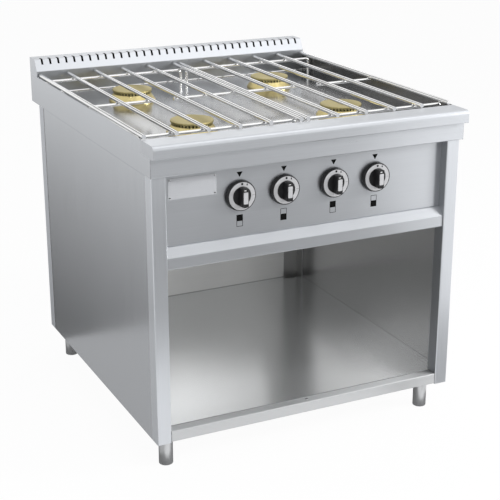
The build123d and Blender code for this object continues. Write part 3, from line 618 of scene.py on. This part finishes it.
def print_square(x, z, filled):
    """One square of a burner sign: black all over, or only a black line round it."""
    clear_selection()
    place = (x, PANEL_Y, z)
    bpy.ops.mesh.primitive_plane_add(size=SIGN_STEP, location=place, rotation=FACING_FRONT)
    edit_mode()
    bpy.ops.transform.resize(value=(SIGN_WIDTH / SIGN_STEP, 1.0, 1.0), center_override=place)
    if not filled:
        bpy.ops.mesh.inset(thickness=SIGN_LINE, depth=0.0)
        bpy.ops.mesh.delete(type="FACE")
    raise_print()
    object_mode()
    return bpy.context.object


def print_burner_sign(name, x, rear):
    """Two squares, one over the other; the black one says which burner the knob works."""
    upper = print_square(x, SIGN_Z + SIGN_STEP / 2, rear)
    lower = print_square(x, SIGN_Z - SIGN_STEP / 2, not rear)
    join([upper, lower])
    return finish_piece(name, black_ink)


def print_dial_dot(name, x):
    """Off mark at the top of the dial."""
    clear_selection()
    place = (x, DIAL_Y, KNOB_Z + DIAL_RADIUS)
    bpy.ops.mesh.primitive_circle_add(
        vertices=24, radius=DOT_RADIUS, fill_type="NGON", location=place, rotation=FACING_FRONT
    )
    edit_mode()
    raise_print()
    return finish_piece(name, black_ink)


def print_dial_flame(name, x):
    """Drop-shaped flame mark on the dial, some way round to the right."""
    clear_selection()
    place = (x + DIAL_RADIUS * math.sin(FLAME_ANGLE), DIAL_Y, KNOB_Z + DIAL_RADIUS * math.cos(FLAME_ANGLE))
    bpy.ops.mesh.primitive_circle_add(
        vertices=16, radius=FLAME_RADIUS, fill_type="NGON", location=place, rotation=FACING_FRONT
    )
    flame = bpy.context.object
    tip = max(flame.data.vertices, key=lambda vertex: vertex.co.y).index
    edit_mode()
    bpy.ops.mesh.select_mode(type="VERT")
    bpy.ops.mesh.select_all(action="DESELECT")
    object_mode()
    flame.data.vertices[tip].select = True
    edit_mode()
    bpy.ops.transform.translate(value=(0.0, 0.0, FLAME_TIP))
    bpy.ops.mesh.select_all(action="SELECT")
    bpy.ops.transform.resize(value=FLAME_SHAPE, center_override=place)
    raise_print()
    return finish_piece(name, black_ink)


def print_bar(name, place, size, finish):
    """Short printed line, with its width and height."""
    clear_selection()
    width, height = size
    bpy.ops.mesh.primitive_plane_add(size=height, location=place, rotation=FACING_FRONT)
    edit_mode()
    bpy.ops.transform.resize(value=(width / height, 1.0, 1.0), center_override=place)
    raise_print()
    return finish_piece(name, finish)


for burner, knob_x in KNOB_X.items():
    knob = f"knob_{burner}"
    low_place = (knob_x + DIAL_RADIUS, DIAL_Y, KNOB_Z)
    highlight_place = (knob_x + GRIP_HIGHLIGHT_SHIFT, GRIP_Y, KNOB_Z + GRIP_HIGHLIGHT_RISE)
    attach(print_triangle(f"pointer_mark_{burner}", knob_x), "stove")
    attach(print_burner_sign(f"burner_sign_{burner}", knob_x, burner.startswith("rear")), "stove")
    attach(print_dial_dot(f"dial_off_mark_{burner}", knob_x), knob)
    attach(print_dial_flame(f"dial_full_flame_{burner}", knob_x), knob)
    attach(print_bar(f"dial_low_mark_{burner}", low_place, LOW_MARK, grey_ink), knob)
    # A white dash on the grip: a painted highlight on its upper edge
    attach(print_bar(f"grip_highlight_{burner}", highlight_place, GRIP_HIGHLIGHT, painted_highlight_ink), knob)


def weld_bead():
    """Small fillet of weld metal, wider at its foot, about the origin."""
    clear_selection()
    bpy.ops.mesh.primitive_uv_sphere_add(segments=12, ring_count=8, radius=WELD_RADIUS, location=ORIGIN)
    bead = bpy.context.object
    edit_mode()
    bpy.ops.transform.resize(value=WELD_SHAPE, center_override=ORIGIN)
    bpy.ops.mesh.select_all(action="DESELECT")
    object_mode()
    for vertex in bead.data.vertices:
        vertex.select = vertex.co.z < WELD_FOOT_Z
    edit_mode()
    bpy.ops.transform.resize(value=WELD_FOOT_SHAPE, center_override=ORIGIN)
    object_mode()
    bpy.ops.object.shade_smooth()
    return bead


def weld_grate(name, sign):
    """Beads on both sides of each long rod where it lies on a cross rod, but none at the grate's sides."""
    places = []
    for number, rod_x in enumerate(ROD_X):
        for y in CROSS_Y:
            for side in (-1.0, 1.0):
                if 0 <= number + side < len(ROD_X):
                    places.append(((sign * (rod_x + side * WELD_ASIDE), y, CROSS_TOP), ORIGIN))
    join(copies(weld_bead(), places))
    return finish_piece(name, weld_steel)


for side, sign in (("left", -1.0), ("right", 1.0)):
    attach(weld_grate(f"grate_welds_{side}", sign), f"grate_{side}")


def model_fold(name):
    """Folded lip along the well's rear edge, its front corner rolled off."""
    clear_selection()
    bpy.ops.mesh.primitive_cube_add(size=1.0, location=FOLD_MIDDLE)
    edit_mode()
    bpy.ops.mesh.select_all(action="SELECT")
    bpy.ops.transform.resize(value=FOLD_SIZE, center_override=FOLD_MIDDLE)
    bpy.ops.mesh.bisect(plane_co=FOLD_CORNER, plane_no=FOLD_SLOPE, clear_outer=True, use_fill=True)
    bpy.ops.mesh.select_all(action="SELECT")
    bpy.ops.mesh.bevel(offset=FOLD_ROUND, segments=3, affect="EDGES")
    object_mode()
    return finish_piece(name, rod_steel)


def screw_head():
    """Pan head with a cross recess, standing on the origin."""
    clear_selection()
    bpy.ops.mesh.primitive_cylinder_add(
        vertices=40, radius=HEAD_RADIUS, depth=HEAD_HEIGHT, location=(0.0, 0.0, HEAD_HEIGHT / 2)
    )
    head = bpy.context.object
    for polygon in head.data.polygons:
        polygon.select = polygon.normal.z > 0.9
    edit_mode()
    bpy.ops.mesh.select_mode(type="FACE")
    bpy.ops.mesh.bevel(offset=HEAD_ROUND, segments=4, profile=0.5, affect="EDGES")
    object_mode()
    top = (0.0, 0.0, HEAD_HEIGHT)
    for turn, stretch in RECESS_CUTS:
        clear_selection()
        bpy.ops.mesh.primitive_cube_add(size=RECESS_WIDTH, location=top, rotation=(0.0, 0.0, turn))
        cutter = bpy.context.object
        edit_mode()
        bpy.ops.transform.resize(value=stretch, center_override=top)
        object_mode()
        select_only(head)
        recess = head.modifiers.new("recess", "BOOLEAN")
        recess.operation = "DIFFERENCE"
        recess.object = cutter
        bpy.ops.object.modifier_apply(modifier=recess.name)
        bpy.data.objects.remove(cutter)
    select_only(head)
    bpy.ops.object.shade_smooth_by_angle(angle=HEAD_SMOOTH)
    return head


def fit_screws(name):
    """One screw in the bottom rail's flange, two rows behind the back panel."""
    places = [(FLANGE_SCREW, (0.0, 0.0, FLANGE_SCREW_TURN))]
    for x in (-BACK_SCREW_X, BACK_SCREW_X):
        places += [((x, BACK_SCREW_Y, z), FACING_REAR) for z in BACK_SCREW_Z]
    join(copies(screw_head(), places))
    return finish_piece(name, tube_steel)


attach(model_fold("well_fold"), "stove")
screws = fit_screws("screws_cross_recess")
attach(screws, "stove")
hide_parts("screws")


# Stage, camera and light

FLOOR_SIZE = 60.0
FLOOR_TONE = 0.86
FLOOR_GLOW = 0.96  # share of the floor's look that is plain white
WORLD_TONE = (0.38, 0.385, 0.395)
SENSOR_WIDTH = 36.0  # millimetres
PICTURE_WIDTH = 500.0  # pixels
FOCAL_LENGTH = 1234.77  # pixels
CAMERA_PLACE = (-1.3124, -2.7853, 1.4321)
CAMERA_AZIMUTH = math.radians(-25.93)
CAMERA_ELEVATION = math.radians(19.11)
CAMERA_REACH = 200.0

# Cards on the floor before the stove lie in rows; each ends at an edge that slants away to the right
CARD_Z = 0.002
ROW_Y = (-4.6, -2.5, -1.85, -1.05)
ROW_LEFT = 0.5
ROW_RIGHT = (2.8, 1.56, 1.174, 0.70)
WHITE_RIGHT = (4.0, 3.0)
REAR_Y = 3.2
CABINET_CARD_Y = 0.372
CABINET_CARD_LEFT, CABINET_CARD_RIGHT = -0.17, 0.285
CABINET_CARD_MIDDLE, CABINET_CARD_TOP = 0.43, 0.495
CABINET_CARD_X = 0.389


def seen_directly(tree):
    """1 for rays from the camera, from gloss or through glass."""
    path = tree.nodes.new("ShaderNodeLightPath")
    total = path.outputs["Is Camera Ray"]
    for name in ("Is Glossy Ray", "Is Transmission Ray"):
        most = tree.nodes.new("ShaderNodeMath")
        most.operation = "MAXIMUM"
        tree.links.new(total, most.inputs[0])
        tree.links.new(path.outputs[name], most.inputs[1])
        total = most.outputs[0]
    return total


def empty_material(name):
    """New material without nodes, and its tree."""
    material = bpy.data.materials.new(name)
    material.use_nodes = True
    material.node_tree.nodes.clear()
    return material, material.node_tree


def mixed_shader(tree, factor, first, second):
    mixed = tree.nodes.new("ShaderNodeMixShader")
    tree.links.new(factor, mixed.inputs["Fac"])
    tree.links.new(first, mixed.inputs[1])
    tree.links.new(second, mixed.inputs[2])
    return mixed.outputs[0]


def show_surface(tree, surface):
    output = tree.nodes.new("ShaderNodeOutputMaterial")
    tree.links.new(surface, output.inputs["Surface"])


def lay_floor():
    """Pale floor, white to the camera and in reflections, with a faint shadow."""
    clear_selection()
    bpy.ops.mesh.primitive_plane_add(size=FLOOR_SIZE)
    floor = bpy.context.object
    floor.name = "floor"
    material, tree = empty_material("studio_floor")
    lit = tree.nodes.new("ShaderNodeBsdfDiffuse")
    lit.inputs["Color"].default_value = (*grey(FLOOR_TONE), 1.0)
    glow = tree.nodes.new("ShaderNodeEmission")
    share = tree.nodes.new("ShaderNodeMath")
    share.operation = "MULTIPLY"
    share.inputs[1].default_value = FLOOR_GLOW
    tree.links.new(seen_directly(tree), share.inputs[0])
    show_surface(tree, mixed_shader(tree, share.outputs[0], lit.outputs[0], glow.outputs[0]))
    floor.data.materials.append(material)


def light_world():
    """Soft even light, white where it is seen."""
    world = bpy.data.worlds.new("studio")
    bpy.context.scene.world = world
    world.use_nodes = True
    tree = world.node_tree
    colour = tree.nodes.new("ShaderNodeMix")
    colour.data_type = "RGBA"
    colour.inputs["A"].default_value = (*WORLD_TONE, 1.0)
    colour.inputs["B"].default_value = (1.0, 1.0, 1.0, 1.0)
    tree.links.new(seen_directly(tree), colour.inputs["Factor"])
    tree.links.new(colour_output(colour), tree.nodes["Background"].inputs["Color"])


def softbox(name, place, target, width, height, power, mirrored=True):
    """Area lamp aimed at a point; reflections show it only where it is mirrored."""
    data = bpy.data.lights.new(name, "AREA")
    data.shape = "RECTANGLE"
    data.size = width
    data.size_y = height
    data.energy = power
    lamp = bpy.data.objects.new(name, data)
    bpy.context.scene.collection.objects.link(lamp)
    lamp.location = place
    lamp.rotation_euler = (Vector(target) - Vector(place)).to_track_quat("-Z", "Y").to_euler()
    lamp.visible_glossy = mirrored


def grey_card(name, corners, axis, span, tones, one_sided=False):
    """Studio card that only reflections see, its tone running between two places along an axis.

    A one-sided card is clear from behind.
    """
    clear_selection()
    bpy.ops.mesh.primitive_plane_add(size=1.0)
    card = bpy.context.object
    card.name = name
    for vertex, corner in zip(card.data.vertices, (corners[0], corners[1], corners[3], corners[2])):
        vertex.co = corner
    material, tree = empty_material(name)
    place = tree.nodes.new("ShaderNodeTexCoord")
    split = tree.nodes.new("ShaderNodeSeparateXYZ")
    tree.links.new(place.outputs["Object"], split.inputs["Vector"])
    tone = tree.nodes.new("ShaderNodeMapRange")
    for socket, value in zip(("From Min", "From Max", "To Min", "To Max"), (*span, *tones)):
        tone.inputs[socket].default_value = value
    tree.links.new(split.outputs[axis], tone.inputs["Value"])
    glow = tree.nodes.new("ShaderNodeEmission")
    tree.links.new(tone.outputs["Result"], glow.inputs["Color"])
    surface = glow.outputs[0]
    if one_sided:
        clear = tree.nodes.new("ShaderNodeBsdfTransparent")
        facing = tree.nodes.new("ShaderNodeNewGeometry")
        surface = mixed_shader(tree, facing.outputs["Backfacing"], surface, clear.outputs[0])
    show_surface(tree, surface)
    card.data.materials.append(material)
    card.visible_camera = False
    card.visible_shadow = False
    card.visible_diffuse = False


def even_card(name, corners, tone):
    """Studio card of one tone."""
    grey_card(name, corners, "X", (0.0, 1.0), (tone, tone))


def flat(x_low, x_high, y_low, y_high, z=CARD_Z):
    """Corners of a level card, on the floor where no height is given."""
    return [(x_low, y_low, z), (x_high, y_low, z), (x_high, y_high, z), (x_low, y_high, z)]


def standing(x_low, x_high, y, z_low, z_high):
    """Corners of an upright card behind the stove or at the cabinet's rear."""
    return [(x_low, y, z_low), (x_high, y, z_low), (x_high, y, z_high), (x_low, y, z_high)]


def floor_row(row):
    """Corners of a card that fills one row on the floor."""
    low, high = ROW_Y[row:row + 2]
    right_low, right_high = ROW_RIGHT[row:row + 2]
    places = ((ROW_LEFT, low), (right_low, low), (right_high, high), (ROW_LEFT, high))
    return [(x, y, CARD_Z) for x, y in places]


def set_camera():
    """Camera at the photograph's place."""
    data = bpy.data.cameras.new("camera")
    data.sensor_fit = "HORIZONTAL"
    data.sensor_width = SENSOR_WIDTH
    data.lens = FOCAL_LENGTH * SENSOR_WIDTH / PICTURE_WIDTH
    data.clip_end = CAMERA_REACH
    camera = bpy.data.objects.new("camera", data)
    bpy.context.scene.collection.objects.link(camera)
    level = math.cos(CAMERA_ELEVATION)
    back = Vector((
        math.sin(CAMERA_AZIMUTH) * level, -math.cos(CAMERA_AZIMUTH) * level, math.sin(CAMERA_ELEVATION)
    ))
    right = Vector((math.cos(CAMERA_AZIMUTH), math.sin(CAMERA_AZIMUTH), 0.0))
    up = back.cross(right)
    turn = Matrix((right, up, back)).transposed().to_4x4()
    camera.matrix_world = Matrix.Translation(CAMERA_PLACE) @ turn
    bpy.context.scene.camera = camera


lay_floor()
light_world()
set_camera()

softbox("key_softbox", (2.8, -2.0, 1.75), (0.0, -0.2, 0.3), 0.9, 0.9, 85.0)
softbox("left_softbox", (-3.0, -1.2, 1.8), (0.0, 0.0, 0.5), 1.6, 1.6, 12.0)
softbox("front_softbox", (0.5, -3.2, 2.9), (0.0, -0.2, 0.2), 2.0, 1.0, 52.0, mirrored=False)
softbox("low_softbox", (0.6, -3.2, 0.75), (0.0, 0.3, 0.3), 1.6, 0.8, 3.0, mirrored=False)
softbox("top_softbox", (0.2, 0.4, 3.2), (0.0, 0.0, 0.7), 2.2, 2.2, 24.0, mirrored=False)

grey_card("left_rear_floor_card", flat(-1.8, -0.42, 0.45, 5.0), "X", (-1.8, -0.5), (0.96, 0.17))
grey_card("left_floor_card", flat(-1.4, -0.42, -0.6, 0.45), "X", (-1.3, -0.5), (0.62, 0.52))
grey_card(
    "front_left_floor_card", flat(-1.2, ROW_LEFT, ROW_Y[0], ROW_Y[-1]), "X", (-0.2, 0.5), (0.42, 0.07),
)
grey_card("front_floor_card", floor_row(1), "X", (0.7, 1.8), (0.04, 0.34))
grey_card("near_floor_card", floor_row(2), "X", (0.5, 1.2), (0.26, 0.36))
grey_card("far_floor_card", floor_row(0), "X", (0.7, 1.8), (0.64, 0.66))
even_card("white_floor_card", [
    (ROW_RIGHT[0], ROW_Y[0], CARD_Z), (WHITE_RIGHT[0], ROW_Y[0], CARD_Z),
    (WHITE_RIGHT[1], ROW_Y[-1], CARD_Z), (ROW_RIGHT[-1], ROW_Y[-1], CARD_Z),
], 1.15)
grey_card("right_floor_card", flat(0.32, 0.90, -1.0, -0.5), "X", (0.3, 0.9), (0.26, 0.46))
# Dark card under the stove that reflections see: a painted shadow in place of the floor's shade
even_card("painted_shadow_card", flat(-0.45, 0.45, -0.42, 0.46, 0.001), 0.15)
grey_card("rear_card", standing(1.05, 4.0, REAR_Y, 0.8, 1.66), "X", (1.1, 2.6), (0.46, 0.33))
even_card("rear_high_card", standing(-1.2, 0.4, REAR_Y, 2.0, 3.5), 0.30)
even_card("rear_bright_card", standing(0.4, 2.2, REAR_Y + 0.05, 1.67, 2.4), 1.65)
even_card("flue_card", flat(0.0, 1.4, -1.0, -0.45, 2.0), 1.9)
grey_card("cabinet_rear_card", [
    (CABINET_CARD_LEFT, CABINET_CARD_Y, 0.31), (CABINET_CARD_RIGHT, CABINET_CARD_Y, 0.36),
    (CABINET_CARD_RIGHT, CABINET_CARD_Y, CABINET_CARD_MIDDLE),
    (CABINET_CARD_LEFT, CABINET_CARD_Y, CABINET_CARD_MIDDLE),
], "X", (0.0, 0.20), (0.62, 0.16), one_sided=True)
grey_card(
    "cabinet_rear_high_card",
    standing(CABINET_CARD_LEFT, CABINET_CARD_RIGHT, CABINET_CARD_Y, CABINET_CARD_MIDDLE, CABINET_CARD_TOP),
    "X", (0.05, 0.28), (1.9, 1.3), one_sided=True,
)
grey_card("cabinet_right_card", [
    (CABINET_CARD_X, 0.26, 0.30), (CABINET_CARD_X, -0.34, 0.21),
    (CABINET_CARD_X, -0.34, 0.49), (CABINET_CARD_X, 0.26, 0.49),
], "Y", (-0.30, 0.2), (0.76, 0.58), one_sided=True)
even_card("camera_card", flat(-2.2, -0.75, -3.6, -2.1, 0.003), 0.08)

bpy.context.scene.view_settings.view_transform = "Standard"
